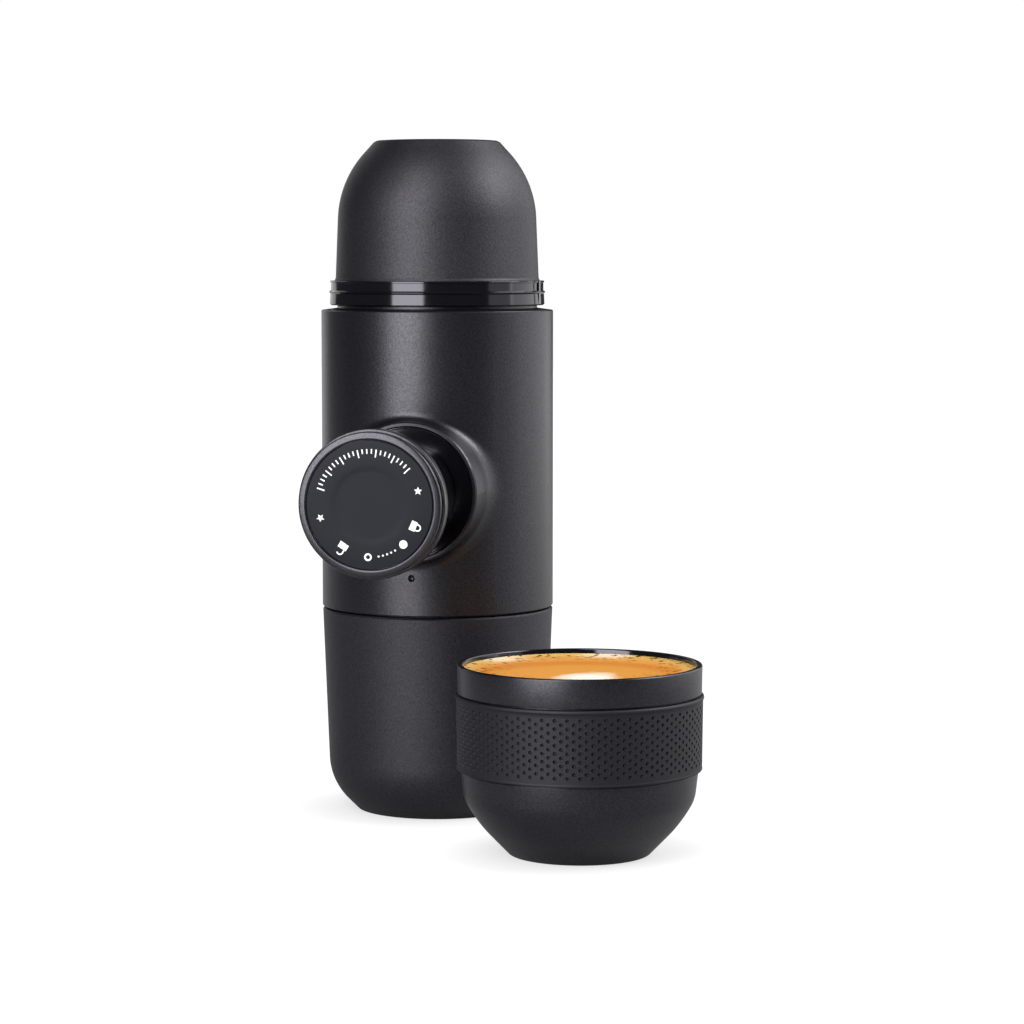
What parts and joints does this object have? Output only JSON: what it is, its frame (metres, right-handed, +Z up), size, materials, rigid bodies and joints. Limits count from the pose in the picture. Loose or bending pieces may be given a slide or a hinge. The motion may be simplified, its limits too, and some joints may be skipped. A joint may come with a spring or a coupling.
{
  "type": "handheld manual espresso maker",
  "caption": "Slim matte black hand-pumped espresso maker with a side piston knob, a screw-off water tank, a domed outlet cap and its own open cup with a dimpled grip band.",
  "frame": {"origin": "centre of the water tank's flat foot, on the surface that the maker stands on", "axes": "+Z up along the body, -Y along the piston towards its knob, +X to the right seen from the knob"},
  "size_m": [0.1069, 0.1159, 0.1715],
  "materials": {
    "soft_touch": "soft-touch matte black",
    "tank_plastic": "matte black",
    "gloss_black": "polished black",
    "knob_disc": "satin blue-black",
    "band_rubber": "dimpled black rubber",
    "seal_silicone": "translucent grey silicone",
    "inner_plastic": "moulded nylon",
    "steel": "stainless steel"
  },
  "bodies": {
    "tank": {"water_tank": "tank_plastic"},
    "tank_seal": {"tank_gasket": "seal_silicone"},
    "housing": {"body_shell": "soft_touch", "port_collar": "gloss_black", "base_plate": "inner_plastic", "plate_screws": "steel", "inlet_filter": "inner_plastic", "vent_valve": "seal_silicone", "inlet_tube": "inner_plastic", "pump_block": "inner_plastic", "inlet_seat": "inner_plastic", "inlet_spring": "steel", "outlet_seat": "inner_plastic", "outlet_spring": "steel", "outlet_duct": "inner_plastic", "pump_cylinder": "inner_plastic", "cylinder_cap": "inner_plastic", "return_spring": "steel", "brew_chamber": "inner_plastic", "chamber_screws": "steel", "needle_plate": "steel"},
    "inlet_valve": {"inlet_ball": "steel"},
    "outlet_valve": {"outlet_ball": "steel"},
    "piston": {"piston_rod": "steel", "piston_head": "inner_plastic", "piston_seal": "seal_silicone", "piston_screw": "steel", "knob_screw": "steel"},
    "knob": {"knob_shell": "soft_touch", "knob_face": "knob_disc", "plunger_sleeve": "gloss_black", "retaining_ring": "steel"},
    "head_seal": {"head_gasket": "seal_silicone"},
    "head": {"outlet_head": "gloss_black", "spout": "inner_plastic", "outlet_plate": "steel"},
    "cap": {"head_cap": "soft_touch"},
    "cup": {"cup_shell": "gloss_black", "cup_band": "band_rubber"}
  },
  "joints": [
    {"name": "housing_rise", "type": "slide", "parent": "tank", "child": "tank_seal", "axis": [0, 0, 1], "range_m": [0, 0.0121]},
    {"name": "housing_turn", "type": "hinge", "parent": "tank_seal", "child": "housing", "pos_m": [0, 0, 0.062], "axis": [0, 0, 1], "range_deg": [0, 360]},
    {"name": "inlet_ball_lift", "type": "slide", "parent": "housing", "child": "inlet_valve", "axis": [0, 0, 1], "range_m": [0, 0.0012], "stiffness_N_per_m": 50, "springref_m": -0.002, "deforming": ["inlet_spring"]},
    {"name": "outlet_ball_lift", "type": "slide", "parent": "housing", "child": "outlet_valve", "axis": [0, 0, 1], "range_m": [0, 0.0012], "stiffness_N_per_m": 50, "springref_m": -0.002, "deforming": ["outlet_spring"]},
    {"name": "piston_stroke", "type": "slide", "parent": "housing", "child": "piston", "axis": [0, 1, 0], "range_m": [0, 0.0322], "stiffness_N_per_m": 200, "springref_m": -0.03, "deforming": ["return_spring"]},
    {"name": "knob_lock", "type": "hinge", "parent": "piston", "child": "knob", "pos_m": [0, -0.0727, 0.0839], "axis": [0, 1, 0], "range_deg": [0, 42]},
    {"name": "head_rise", "type": "slide", "parent": "housing", "child": "head_seal", "axis": [0, 0, 1], "range_m": [0, 0.0061]},
    {"name": "head_turn", "type": "hinge", "parent": "head_seal", "child": "head", "pos_m": [0, 0, 0.13595], "axis": [0, 0, 1], "range_deg": [0, 360]},
    {"name": "cap_lift", "type": "slide", "parent": "head", "child": "cap", "axis": [0, 0, 1], "range_m": [0, 0.04]},
    {"name": "cup_lift", "type": "slide", "parent": "tank", "child": "cup", "axis": [0.2844, -0.1422, 0.9481], "range_m": [0, 0.15]}
  ],
  "couplings": [
    {"joint": "housing_rise", "follows": "housing_turn", "m_per_rad": 0.0019099},
    {"joint": "head_rise", "follows": "head_turn", "m_per_rad": 0.00095493}
  ]
}
